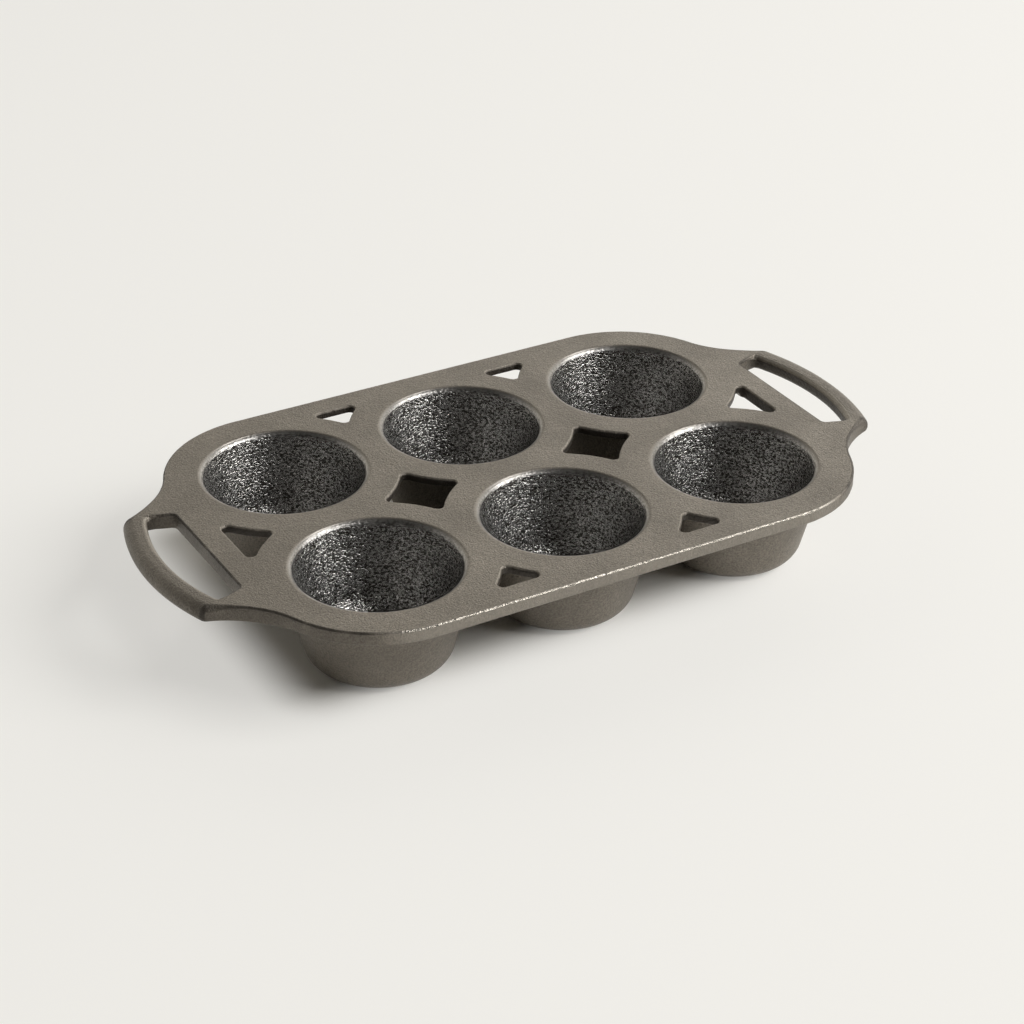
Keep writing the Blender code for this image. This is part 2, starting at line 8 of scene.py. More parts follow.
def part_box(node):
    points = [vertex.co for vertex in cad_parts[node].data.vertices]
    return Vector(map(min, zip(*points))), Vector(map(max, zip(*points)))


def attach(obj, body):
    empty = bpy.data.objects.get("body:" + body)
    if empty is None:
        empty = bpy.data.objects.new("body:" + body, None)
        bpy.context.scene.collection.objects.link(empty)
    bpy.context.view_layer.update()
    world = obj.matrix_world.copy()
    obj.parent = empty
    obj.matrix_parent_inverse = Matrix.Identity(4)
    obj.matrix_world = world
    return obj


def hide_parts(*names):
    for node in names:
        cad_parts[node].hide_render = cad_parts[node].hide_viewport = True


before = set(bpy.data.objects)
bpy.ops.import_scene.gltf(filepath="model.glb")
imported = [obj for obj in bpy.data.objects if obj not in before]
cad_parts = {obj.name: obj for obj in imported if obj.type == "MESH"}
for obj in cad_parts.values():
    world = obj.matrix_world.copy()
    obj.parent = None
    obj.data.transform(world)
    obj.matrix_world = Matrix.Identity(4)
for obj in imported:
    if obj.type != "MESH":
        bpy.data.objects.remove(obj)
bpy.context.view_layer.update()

# The deck is the flat web that joins the cups. It is grey iron, poured in one with the cups and the
# handles in a sand mould. The pattern rounds its edges, relieves its underside inside the rim, and
# leaves eight small windows between the cups.
deck_low, deck_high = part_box("deck")
handle_low, handle_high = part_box("handle_right")
cup_places = {}
for name in sorted(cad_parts):
    if name.startswith("cup_"):
        low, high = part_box(name)
        cup_places[name] = ((low.x + high.x) / 2, (low.y + high.y) / 2)
        SHOULDER_RADIUS = (high.x - low.x) / 2

TOP = deck_high.z
HALF_DEPTH = deck_high.y
CUP_X = max(x for x, y in cup_places.values())
CUP_Y = max(y for x, y in cup_places.values())
CORNER_RADIUS = HALF_DEPTH - CUP_Y
SEAM_X = (deck_high.x + handle_low.x) / 2
TIP_X = handle_high.x
HANDLE_REACH = 0.0317        # from the wall of the finger opening to the outside of the grip
END_WALL_X = TIP_X - HANDLE_REACH
OPENING_HALF_LENGTH = 0.0378
OPENING_FLARE = math.radians(18)
OPENING_ROUNDING = 0.003
HORN_SWEEP = 0.048           # radius of the hollow side of a horn
HORN_HALF_SPAN = 0.0443
LIP_RADIUS = 0.043
SEAT_RADIUS = 0.04455        # where a cup's flat collar ends at the top
RING_WIDTH = 0.0145          # iron left between a lip and a window
BAND_WIDTH = 0.0134          # iron left between a window and the outer edge
WINDOW_ROUNDING = 0.0028
RIM_THICKNESS = 0.0066
WEB_THICKNESS = 0.0042
ROOT_DEPTH = TOP - deck_low.z
ROOT_RUN = 0.0135            # stretch over which the rim deepens towards a handle
RIM_WIDTH = 0.0065
END_RIM_WIDTH = 0.0152
RELIEF_SLOPE = 0.0012
EDGE_ROUNDING = 0.0012       # upper edges
UNDER_ROUNDING = 0.0006      # lower edges
GUARD = 0.00035              # flat left beside a rounding, so that the flats stay flat
UPPER_STEPS = 8
UNDER_STEPS = 3
POINT_SPACING = 0.0009
CUP_SEGMENTS = 400
EDGE_WAVER = 0.00009         # how far the sand lets an edge wander
WAVER_LENGTH = 0.0022
WAVER_FADE = 4 * WAVER_LENGTH     # the waver dies away over this stretch before a handle's seam
EDGE_WEAR = (1.0, 0.45)      # how bright the outer edge's rounding and side are rubbed: 1 is bright, and -1 is dark: oil, with a painted dark reflection, along the horns, and oil with painted shade on the windows' walls, which little touches
HORN_OIL_AND_REFLECTION = (-1.0, -0.45)    # and -1 is dark with oil, which is left along the horns
WINDOW_WEAR_AND_SHADE = (0.25, -1.0)   # and in the windows, which little touches
HORN_DARKENED_FROM = 0.010      # past the middle of the end cups, the oil and a painted dark reflection begin
HORN_DARKENED_RUN = 0.028
HORN_DARK_PATCH = 0.007            # size of the patches in which the oil and painted dark reflection lie
HORN_DARK_UNEVENNESS = 0.4
ROOT_ROWS = 8                # grid of points that shapes the deepening rim at each end
ROOT_COLUMNS = 16            # on either side of the middle
ROOT_COLUMN_GAP = 0.004
SHARP_ANGLE = math.radians(40)
MERGE_DISTANCE = 1e-7        # points of a flat nearer than this are one


class Straight:
    """A straight side of an outline. out is the angle that faces off the iron."""
    centre, bulge = None, 0

    def __init__(self, out, offset, fixed=False):
        self.out, self.offset, self.fixed = out, offset, fixed
        self.nx, self.ny = math.cos(out), math.sin(out)

    def grown(self, amount):
        return self if self.fixed else Straight(self.out, self.offset + amount)

    def foot(self, point):
        gap = self.nx * point[0] + self.ny * point[1] - self.offset
        return (point[0] - gap * self.nx, point[1] - gap * self.ny)

    def mirrored(self, sx, sy):
        return Straight(math.atan2(sy * self.ny, sx * self.nx), self.offset, self.fixed)


class Round:
    """A round side of an outline: the iron lies inside its circle (bulge 1) or outside it (-1)."""
    fixed = False

    def __init__(self, centre, radius, bulge):
        self.centre, self.radius, self.bulge = centre, radius, bulge

    def grown(self, amount):
        return Round(self.centre, self.radius + self.bulge * amount, self.bulge)

    def foot(self, point):
        scale = self.radius / math.dist(self.centre, point)
        return (self.centre[0] + (point[0] - self.centre[0]) * scale,
                self.centre[1] + (point[1] - self.centre[1]) * scale)

    def mirrored(self, sx, sy):
        return Round((sx * self.centre[0], sy * self.centre[1]), self.radius, self.bulge)


def crossing(first, second, near):
    """The point where two sides cross that lies nearest to a rough place."""
    if first.centre is None and second.centre is None:
        det = first.nx * second.ny - first.ny * second.nx
        return ((first.offset * second.ny - second.offset * first.ny) / det,
                (first.nx * second.offset - second.nx * first.offset) / det)
    if first.centre and second.centre:
        ring = first
        (ax, ay), (bx, by) = first.centre, second.centre
        span = math.hypot(bx - ax, by - ay)
        along = (first.radius ** 2 - second.radius ** 2 + span ** 2) / (2 * span)
        ux, uy = (bx - ax) / span, (by - ay) / span
    else:
        ring, line = (first, second) if first.centre else (second, first)
        ax, ay = ring.centre
        along = line.offset - line.nx * ax - line.ny * ay
        ux, uy = line.nx, line.ny
    reach = math.sqrt(max(ring.radius ** 2 - along ** 2, 0.0))
    found = [(ax + along * ux - side * reach * uy, ay + along * uy + side * reach * ux)
             for side in (-1, 1)]
    return min(found, key=lambda point: math.dist(point, near))


def span_of(centre, turn, start, end):
    """Start angle and swept angle of a stretch about its centre."""
    a0 = math.atan2(start[1] - centre[1], start[0] - centre[0])
    a1 = math.atan2(end[1] - centre[1], end[0] - centre[0])
    return a0, (turn * (a1 - a0) + math.pi) % (2 * math.pi) - math.pi


def run(centre, turn, start, end, steps):
    """Points of a straight or round stretch, without its end."""
    if centre is None:
        return [(start[0] + (end[0] - start[0]) * i / steps, start[1] + (end[1] - start[1]) * i / steps)
                for i in range(steps)]
    a0, span = span_of(centre, turn, start, end)
    radius = math.dist(centre, start)
    return [(centre[0] + radius * math.cos(a0 + turn * span * i / steps),
             centre[1] + radius * math.sin(a0 + turn * span * i / steps)) for i in range(steps)]


class Outline:
    """A closed counter-clockwise outline that grows and shrinks point for point. corners[i] joins
    side i to the next one: (rough place, radius), with 0 where they just meet and a negative
    radius for a hollow corner."""

    def __init__(self, sides, corners):
        self.sides, self.corners = sides, corners
        self.steps, self.seams = [], []
        for centre, turn, start, end, fixed in self.stretches(0.0):
            if fixed:
                self.seams.append(sum(self.steps))
            length = math.dist(start, end)
            if centre:
                length = math.dist(centre, start) * span_of(centre, turn, start, end)[1]
            self.steps.append(1 if fixed else max(2, math.ceil(length / POINT_SPACING)))

    def stretches(self, grow):
        count = len(self.sides)
        starts, ends, rounds = [None] * count, [None] * count, [None] * count
        for i, (near, radius) in enumerate(self.corners):
            j = (i + 1) % count
            one, two = self.sides[i], self.sides[j]
            if radius == 0:
                ends[i] = crossing(one.grown(grow), two.grown(grow), near)
                starts[j] = ends[i]
            else:
                middle = crossing(one.grown(-radius), two.grown(-radius), near)
                ends[i] = one.grown(grow).foot(middle)
                starts[j] = two.grown(grow).foot(middle)
                rounds[i] = (middle, math.copysign(1, radius), ends[i], starts[j], False)
        for side, start, end, rounded in zip(self.sides, starts, ends, rounds):
            yield side.centre, side.bulge, start, end, side.fixed
            if rounded:
                yield rounded

    def loop(self, grow):
        points = []
        for (centre, turn, start, end, _), steps in zip(self.stretches(grow), self.steps):
            points += run(centre, turn, start, end, steps)
        return np.array(points)


def ease(value):
    """Smooth step from 0 to 1."""
    value = min(max(value, 0.0), 1.0)
    return value * value * (3 - 2 * value)


def underside(x, y):
    """Height of the deck's lower face: the web, the slope of the relief, and the rim."""
    deeper = ease((abs(x) - END_WALL_X + ROOT_RUN) / ROOT_RUN)
    rim = TOP - RIM_THICKNESS - (ROOT_DEPTH - RIM_THICKNESS) * deeper
    off = max(abs(x) - (END_WALL_X - END_RIM_WIDTH), abs(y) - (HALF_DEPTH - RIM_WIDTH))
    if abs(x) > CUP_X and abs(y) > CUP_Y:
        off = max(off, math.hypot(abs(x) - CUP_X, abs(y) - CUP_Y) - (CORNER_RADIUS - RIM_WIDTH))
    web = TOP - WEB_THICKNESS
    return web + (rim - web) * min(max(off / RELIEF_SLOPE, 0.0), 1.0)


def deck_sides():
    """The sides that the horn, the finger opening and the corner at +X, +Y share."""
    sweep_y = HORN_HALF_SPAN + HORN_SWEEP
    reach = CORNER_RADIUS + HORN_SWEEP
    sweep_x = CUP_X + math.sqrt(reach ** 2 - (sweep_y - CUP_Y) ** 2)
    out = OPENING_FLARE - math.pi / 2
    end_wall = Straight(out, END_WALL_X * math.cos(out) + OPENING_HALF_LENGTH * math.sin(out))
    hollow = Round((sweep_x, sweep_y), HORN_SWEEP, -1)
    return end_wall, hollow, Round((CUP_X, CUP_Y), CORNER_RADIUS, 1)


def four_quarters(wall, quarter, edge, meets):
    """A whole outline from the sides of its quarter at +X, +Y, which runs from the end wall to the
    long edge. meets has the rough place and the radius where each of these sides ends."""
    sides, corners = [], []
    for sx, sy in ((1, 1), (-1, 1), (-1, -1), (1, -1)):
        order = 1 if sx * sy > 0 else -1
        opener = wall if order == 1 else edge
        sides += [side.mirrored(sx, sy) for side in [opener] + quarter[::order]]
        corners += [((sx * x, sy * y), radius) for (x, y), radius in meets[::order]]
    return Outline(sides, corners)


def deck_outline():
    """The deck's outer edge, which takes in the deck's side of both finger openings."""
    end_wall, hollow, corner = deck_sides()
    wall, edge = Straight(0.0, END_WALL_X), Straight(math.pi / 2, HALF_DEPTH)
    seam = Straight(0.0, SEAM_X, fixed=True)
    quarter = [end_wall, seam, hollow, corner]
    meets = [((END_WALL_X, OPENING_HALF_LENGTH), -OPENING_ROUNDING),
             ((SEAM_X, OPENING_HALF_LENGTH), 0),
             ((SEAM_X, HORN_HALF_SPAN), 0),
             (corner.foot(hollow.centre), 0),
             ((CUP_X, HALF_DEPTH), 0)]
    return four_quarters(wall, quarter, edge, meets)


def halfway(one, two):
    return ((one[0] + two[0]) / 2, (one[1] + two[1]) / 2)


def window(band, cups):
    """A window bounded by the rings about two to four cups, and by a straight band if it has one."""
    sides = [Round(cup, LIP_RADIUS + RING_WIDTH, -1) for cup in cups]
    near = (sum(x for x, y in cups) / len(cups), sum(y for x, y in cups) / len(cups))
    if band:
        sides.insert(0, band)
        near = band.foot(near)
    corners = []
    for i, side in enumerate(sides):
        following = sides[(i + 1) % len(sides)]
        if side.centre and following.centre:
            rough = halfway(halfway(side.centre, following.centre), near)
        else:
            ring = side if side.centre else following
            rough = band.foot(halfway(near, ring.centre))
        corners.append((rough, WINDOW_ROUNDING))
    return Outline(sides, corners)


def deck_windows():
    """Diamonds down the middle, and triangles along all four sides."""
    found = []
    side_band, end_band = HALF_DEPTH - BAND_WIDTH, END_WALL_X - BAND_WIDTH
    for left in (-CUP_X, 0.0):
        right = left + CUP_X
        found.append(window(None, [(right, CUP_Y), (left, CUP_Y), (left, -CUP_Y), (right, -CUP_Y)]))
        found.append(window(Straight(math.pi / 2, side_band), [(left, CUP_Y), (right, CUP_Y)]))
        found.append(window(Straight(-math.pi / 2, side_band), [(right, -CUP_Y), (left, -CUP_Y)]))
    found.append(window(Straight(0.0, end_band), [(CUP_X, CUP_Y), (CUP_X, -CUP_Y)]))
    found.append(window(Straight(math.pi, end_band), [(-CUP_X, -CUP_Y), (-CUP_X, CUP_Y)]))
    return found


def wall_levels(low_rounding, high_rounding):
    """Rings of a wall from the underside up: how far in from the wall, rise over the underside or
    None, drop from the top, and how much the rounding's and the side's wear count there."""
    yield low_rounding + GUARD, 0.0, 0.0, (0.0, 0.0)
    for i in range(UNDER_STEPS + 1):
        angle = math.pi / 2 * i / UNDER_STEPS
        yield low_rounding * (1 - math.sin(angle)), low_rounding * (1 - math.cos(angle)), 0.0, (0.0, 1.0)
    for i in range(UPPER_STEPS + 1):
        angle = math.pi / 2 * i / UPPER_STEPS
        turned = math.sqrt(abs(math.sin(2 * angle)))
        shares = (turned, max(math.cos(2 * angle), 0.0))
        yield high_rounding * (1 - math.cos(angle)), None, high_rounding * (1 - math.sin(angle)), shares
    yield high_rounding + GUARD, None, 0.0, (0.0, 0.0)


def oil_and_reflection_left(x, y, z):
    """How much of a horn's oil and painted dark reflection lies at a place of the outer edge, from 0 to 1,
    in patches.
    """
    share = ease((abs(x) - CUP_X - HORN_DARKENED_FROM) / HORN_DARKENED_RUN)
    patchy = 1 + HORN_DARK_UNEVENNESS * noise.noise(Vector((x, y, z)) / HORN_DARK_PATCH)
    return min(share * patchy, 1.0)


class Casting:
    """Gathers the points and faces of one closed piece, with a mask value at every point."""

    def __init__(self, mask_name):
        self.mask_name = mask_name
        self.points, self.faces, self.values = [], [], []

    def ring(self, points, value=0.0):
        first = len(self.points)
        self.points += [tuple(point) for point in points]
        self.values += [value] * len(points) if isinstance(value, float) else list(value)
        return list(range(first, len(self.points)))

    def strip(self, low, high, inward=False, gaps=()):
        """Faces between two closed rings, but for the stretches that start at gaps."""
        for i in range(len(low)):
            j = (i + 1) % len(low)
            if i not in gaps:
                face = (low[i], low[j], high[j], high[i])
                self.faces.append(face[::-1] if inward else face)

    def walls(self, outline, grow, wear_and_shading, horn_oil_and_reflection):
        """A wall with both its roundings, wavering as sand does. grow is -1 where the roundings
        draw the outline in, and 1 where they flare it out. wear_and_shading, and horn_oil_and_reflection
        where the horns' oil and painted dark reflection lie, are those of its upper rounding and of its
        side. Gives its lowest and highest ring."""
        rings = []
        for spread, rise, drop, shares in wall_levels(UNDER_ROUNDING, EDGE_ROUNDING):
            loop = outline.loop(grow * spread)
            ahead = np.roll(loop, -1, 0) - np.roll(loop, 1, 0)
            ahead /= np.maximum(np.linalg.norm(ahead, axis=1), 1e-9)[:, None]
            ring, values = [], []
            for (x, y), (tx, ty) in zip(loop, ahead):
                z = TOP - drop if rise is None else underside(x, y) + rise
                free = ease((SEAM_X - abs(x)) / WAVER_FADE)
                shift = EDGE_WAVER * free * noise.noise(Vector((x, y, z)) / WAVER_LENGTH)
                if rise == 0.0 or (rise is None and drop == 0.0):
                    shift = 0.0
                ring.append((x + ty * shift, y - tx * shift, z))
                # Along the horns, oil with a painted dark reflection takes over from the plain values.
                oil = oil_and_reflection_left(x, y, z)
                values.append(sum(share * (plain + (horn - plain) * oil)
                                  for share, plain, horn in zip(shares, wear_and_shading, horn_oil_and_reflection)))
            rings.append(self.ring(ring, values))
        for low, high in zip(rings, rings[1:]):
            self.strip(low, high, inward=grow > 0, gaps=outline.seams)
        for i in outline.seams:
            up, down = [ring[i] for ring in rings], [ring[i + 1] for ring in rings]
            self.faces.append(tuple(down + up[::-1]))
        return rings[0], rings[-1]

    def cover(self, edge, holes, height, extra_loops=(), extra_points=(), facing_up=True):
        """Fills the face inside an edge ring, round the rings of its holes. height gives its shape,
        and the extra loops and points lie where it bends."""
        loops = [edge, *holes]
        extra = []
        for loop in extra_loops:
            extra.append(self.ring([(x, y, height(x, y)) for x, y in loop]))
        spare = self.ring([(x, y, height(x, y)) for x, y in extra_points])
        used = [i for loop in loops + extra for i in loop] + spare
        number = {index: k for k, index in enumerate(used)}
        edges = [(number[one], number[two]) for loop in loops + extra
                 for one, two in zip(loop, loop[1:] + loop[:1])]
        flat = [Vector(self.points[i][:2]) for i in used]
        found = geometry.delaunay_2d_cdt(flat, edges, [], 0, MERGE_DISTANCE)
        spots, triangles, origins = found[0], np.array(found[2]), found[3]
        index = [used[origin[0]] if origin else None for origin in origins]
        for k, spot in enumerate(spots):
            if index[k] is None:
                index[k] = self.ring([(spot.x, spot.y, height(spot.x, spot.y))])[0]
        centres = np.array([(s.x, s.y) for s in spots])[triangles].mean(axis=1)
        keep = self.inside(centres, edge)
        for hole in holes:
            keep &= ~self.inside(centres, hole)
        for a, b, c in triangles[keep]:
            face = (index[a], index[b], index[c])
            self.faces.append(face if facing_up else face[::-1])

    def inside(self, spots, loop):
        """Which spots lie inside a ring of this piece, seen from above."""
        ring = np.array([self.points[i][:2] for i in loop])
        within = np.zeros(len(spots), bool)
        x, y = spots[:, 0], spots[:, 1]
        for (ax, ay), (bx, by) in zip(ring, np.roll(ring, -1, 0)):
            if ay != by:
                within ^= ((ay > y) != (by > y)) & (x < (bx - ax) * (y - ay) / (by - ay) + ax)
        return within

    def pour(self, name, iron):
        """The finished piece in its material, without points that nothing uses."""
        used = sorted({i for face in self.faces for i in face})
        renumber = {old: new for new, old in enumerate(used)}
        mesh = bpy.data.meshes.new(name)
        mesh.from_pydata([self.points[i] for i in used], [], [[renumber[i] for i in f] for f in self.faces])
        layer = mesh.attributes.new(self.mask_name, "FLOAT", "POINT")
        layer.data.foreach_set("value", [self.values[i] for i in used])
        mesh.materials.append(iron)
        mesh.shade_smooth()
        mesh.set_sharp_from_angle(angle=SHARP_ANGLE)
        piece = bpy.data.objects.new(name, mesh)
        bpy.context.scene.collection.objects.link(piece)
        return piece


def circle(centre, radius):
    """Points of a cup's circle, the same for the cup and for the deck round it."""
    turns = [2 * math.pi * i / CUP_SEGMENTS for i in range(CUP_SEGMENTS)]
    return [(centre[0] + radius * math.cos(turn), centre[1] + radius * math.sin(turn)) for turn in turns]


def relief_loop(grow):
    """Outline of the relieved underside, which meets the web at 0 and the rim at its slope's width."""
    end = Straight(0.0, END_WALL_X - END_RIM_WIDTH)
    side = Straight(math.pi / 2, HALF_DEPTH - RIM_WIDTH)
    corner = Round((CUP_X, CUP_Y), CORNER_RADIUS - RIM_WIDTH, 1)
    meets = [((END_WALL_X, 1.5 * CUP_Y), 0), ((CUP_X, HALF_DEPTH), 0)]
    return [tuple(point) for point in four_quarters(end, [corner], side, meets).loop(grow)]


def snap_to(points, ring, x_line):
    """Moves the nearest points of a ring along it onto a line that crosses it."""
    for sign in (-1, 1):
        for i, index in enumerate(ring):
            here, there = points[index], points[ring[(i + 1) % len(ring)]]
            if (here[0] - sign * x_line) * (there[0] - sign * x_line) < 0:
                share = (sign * x_line - here[0]) / (there[0] - here[0])
                y = here[1] + (there[1] - here[1]) * share
                target = index if share < 0.5 else ring[(i + 1) % len(ring)]
                points[target] = (sign * x_line, y, underside(sign * x_line, y))


def place(tree, kind, inputs, **settings):
    """A new shader node, with each named input linked or given a value."""
    made = tree.nodes.new(kind)
    for key, value in settings.items():
        setattr(made, key, value)
    for key, value in inputs.items():
        if isinstance(value, bpy.types.NodeSocket):
            tree.links.new(value, made.inputs[key])
        else:
            made.inputs[key].default_value = value
    return made


def reckon(tree, operation, first, second=0.0):
    return place(tree, "ShaderNodeMath", {0: first, 1: second}, operation=operation).outputs[0]


def reckon_vector(tree, operation, first, second=(0.0, 0.0, 0.0)):
    """Both outputs of a sum on vectors: 0 is a vector, and 1 is a value."""
    return place(tree, "ShaderNodeVectorMath", {0: first, 1: second}, operation=operation).outputs


def between(tree, share, low, high):
    """A value that goes from low to high as share goes from 0 to 1."""
    return place(tree, "ShaderNodeMapRange", {"Value": share, "To Min": low, "To Max": high}).outputs[0]


def tint(tree, share, first, second):
    """A colour that goes from the first to the second."""
    ends = {0: share, 6: first, 7: second}
    return place(tree, "ShaderNodeMix", ends, data_type="RGBA").outputs[2]


def stretch(tree, value, low, high):
    """A value pulled apart, so that low becomes 0 and high becomes 1."""
    return place(tree, "ShaderNodeMapRange", {"Value": value, "From Min": low, "From Max": high}).outputs[0]


def mask(tree, name):
    return place(tree, "ShaderNodeAttribute", {}, attribute_name=name).outputs["Fac"]


GRAIN_SIZE = 0.9             # the iron's grains, its hollows and its patches of tone, in millimetres
HOLLOW_SIZE = 2.6
PATCH_SIZE = 38.0
PATCH_SPAN = (0.3, 0.7)      # noise over which a patch goes from dark to pale
IRON_DARK = (0.204, 0.180, 0.148, 1)
IRON_PALE = (0.286, 0.254, 0.210, 1)
PATCH_ROUGHNESS = (0.50, 0.42)
BURNT_SPECK = (0.105, 0.092, 0.076, 1)
SPECK_SPAN = (0.38, 0.66)    # noise over which a grain turns into a speck
SPECK_SHARE = 0.75           # how much of the iron a speck hides
# baked oil's dark skin, which also stands for painted shade and a painted dark reflection
OIL_SKIN_AND_PAINTED_SHADE = (0.060, 0.051, 0.041, 1)
RUBBED_IRON = (0.36, 0.333, 0.293, 1)
RUBBED_POLISH = 0.18         # how much less rough a rubbed edge is
SEASONED_METAL = 0.45
RUBBED_METAL = 0.95
BUMP_HEIGHT = 0.00032        # what 1 stands for in the heights that follow
HOLLOW_DEPTH = 0.9
PITS_PER_GRAIN = 0.7
PIT_RADIUS = 0.35            # as a share of the way from pit to pit
PIT_STEEPNESS = 0.8
RUBBED_RELIEF = 1.7          # against 1 on plain iron
OILED_RELIEF = 0.8           # what a full skin of oil adds to that


def cast_iron_group():
    """Bare iron as a sand mould leaves it: grains, soft hollows and pits, patches of tone, dark
    specks of burnt sand, brighter metal where an edge is rubbed (input at 1), and a dark skin
    (input at -1) that is baked oil, and also painted shade and a painted dark reflection.
    Sizes are in millimetres."""
    tree = bpy.data.node_groups.new("cast_iron_skin", "ShaderNodeTree")
    inputs = (("Grain", GRAIN_SIZE), ("Hollow", HOLLOW_SIZE), ("Patch", PATCH_SIZE), ("Wear and shading", 0.0))
    for label, value in inputs:
        tree.interface.new_socket(label, in_out="INPUT", socket_type="NodeSocketFloat").default_value = value
    for label, kind in (("Iron", "Color"), ("Roughness", "Float"), ("Metal", "Float"), ("Height", "Float")):
        tree.interface.new_socket(label, in_out="OUTPUT", socket_type=f"NodeSocket{kind}")
    given, out = tree.nodes.new("NodeGroupInput").outputs, tree.nodes.new("NodeGroupOutput").inputs
    spot = place(tree, "ShaderNodeTexCoord", {}).outputs["Object"]

    def cloud(size, detail):
        scale = reckon(tree, "DIVIDE", 1000.0, size)
        return place(tree, "ShaderNodeTexNoise",
                     {"Vector": spot, "Scale": scale, "Detail": detail, "Roughness": 0.6}).outputs["Fac"]

    grains, hollows = cloud(given["Grain"], detail=2.0), cloud(given["Hollow"], detail=2.0)
    patches = stretch(tree, cloud(given["Patch"], detail=4.0), *PATCH_SPAN)
    pit_scale = reckon(tree, "DIVIDE", 1000.0 * PITS_PER_GRAIN, given["Grain"])
    pits = place(tree, "ShaderNodeTexVoronoi", {"Vector": spot, "Scale": pit_scale}).outputs["Distance"]
    dented = reckon(tree, "MULTIPLY", reckon(tree, "MINIMUM", pits, PIT_RADIUS), PIT_STEEPNESS)
    lumps = reckon(tree, "ADD", reckon(tree, "MULTIPLY", hollows, HOLLOW_DEPTH), dented)
    specks = reckon(tree, "MULTIPLY", stretch(tree, grains, *SPECK_SPAN), SPECK_SHARE)
    rubbed = reckon(tree, "MAXIMUM", given["Wear and shading"], 0.0)
    # Below 0 the mask darkens the iron: baked oil, and also painted shade and a painted dark reflection.
    oil = reckon(tree, "MULTIPLY", reckon(tree, "MINIMUM", given["Wear and shading"], 0.0), -1.0)
    body = tint(tree, patches, IRON_DARK, IRON_PALE)
    for share, colour in ((specks, BURNT_SPECK), (oil, OIL_SKIN_AND_PAINTED_SHADE), (rubbed, RUBBED_IRON)):
        body = tint(tree, share, body, colour)
    tree.links.new(body, out["Iron"])
    dull = between(tree, patches, *PATCH_ROUGHNESS)
    polish = reckon(tree, "MULTIPLY", rubbed, RUBBED_POLISH)
    tree.links.new(reckon(tree, "SUBTRACT", dull, polish), out["Roughness"])
    tree.links.new(between(tree, rubbed, SEASONED_METAL, RUBBED_METAL), out["Metal"])
    oily = reckon(tree, "MULTIPLY", oil, OILED_RELIEF)
    rougher = reckon(tree, "ADD", between(tree, rubbed, 1.0, RUBBED_RELIEF), oily)
    tree.links.new(reckon(tree, "MULTIPLY", reckon(tree, "ADD", grains, lumps), rougher), out["Height"])
    return tree


CAST_IRON = cast_iron_group()


def raised(tree, height):
    """The surface's normal under a height in which 1 stands for BUMP_HEIGHT."""
    relief = {"Height": height, "Strength": 1.0, "Distance": BUMP_HEIGHT}
    return place(tree, "ShaderNodeBump", relief).outputs[0]


def bare_iron(name, hollow_size):
    """Warm grey-brown iron with a thin dull seasoning, brighter where its edges are rubbed, and
    dark with oil, painted shade and a painted dark reflection where its mask is below 0.
    """
    made = bpy.data.materials.new(name)
    made.use_nodes = True
    tree = made.node_tree
    shader = tree.nodes["Principled BSDF"]
    skin = {"Grain": GRAIN_SIZE, "Hollow": hollow_size, "Patch": PATCH_SIZE, "Wear and shading": mask(tree, "wear_and_shading")}
    iron = place(tree, "ShaderNodeGroup", skin, node_tree=CAST_IRON).outputs
    tree.links.new(iron["Iron"], shader.inputs["Base Color"])
    tree.links.new(iron["Roughness"], shader.inputs["Roughness"])
    tree.links.new(iron["Metal"], shader.inputs["Metallic"])
    tree.links.new(raised(tree, iron["Height"]), shader.inputs["Normal"])
    return made


def make_deck():
    deck = Casting("wear_and_shading")
    # Along the horns the outer edge takes oil and a painted dark reflection.
    bottom_edge, top_edge = deck.walls(deck_outline(), -1, EDGE_WEAR, HORN_OIL_AND_REFLECTION)
    bottom_holes, top_holes = [], []
    for hole in deck_windows():
        # The windows' walls take oil and painted shade, as dark as a thick skin.
        low, high = deck.walls(hole, 1, WINDOW_WEAR_AND_SHADE, WINDOW_WEAR_AND_SHADE)
        bottom_holes.append(low)
        top_holes.append(high)
    for line in (END_WALL_X - END_RIM_WIDTH, END_WALL_X - END_RIM_WIDTH + RELIEF_SLOPE):
        for ring in bottom_holes:
            snap_to(deck.points, ring, line)
    web = TOP - WEB_THICKNESS
    for centre in cup_places.values():
        low = deck.ring([(x, y, web) for x, y in circle(centre, SHOULDER_RADIUS)])
        high = deck.ring([(x, y, TOP) for x, y in circle(centre, SEAT_RADIUS)])
        deck.strip(low, high, inward=True)
        bottom_holes.append(low)
        top_holes.append(high)
    deck.cover(top_edge, top_holes, lambda x, y: TOP)
    root_points = [(sign * (END_WALL_X - ROOT_RUN * i / ROOT_ROWS), ROOT_COLUMN_GAP * j)
                   for sign in (-1, 1) for i in range(ROOT_ROWS)
                   for j in range(-ROOT_COLUMNS, ROOT_COLUMNS + 1)]
    deck.cover(bottom_edge, bottom_holes, underside, [relief_loop(0.0), relief_loop(RELIEF_SLOPE)],
               root_points, facing_up=False)
    return deck.pour("deck_casting", bare_iron("cast_deck_iron", HOLLOW_SIZE))


deck_piece = make_deck()
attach(deck_piece, "root")
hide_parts("deck")

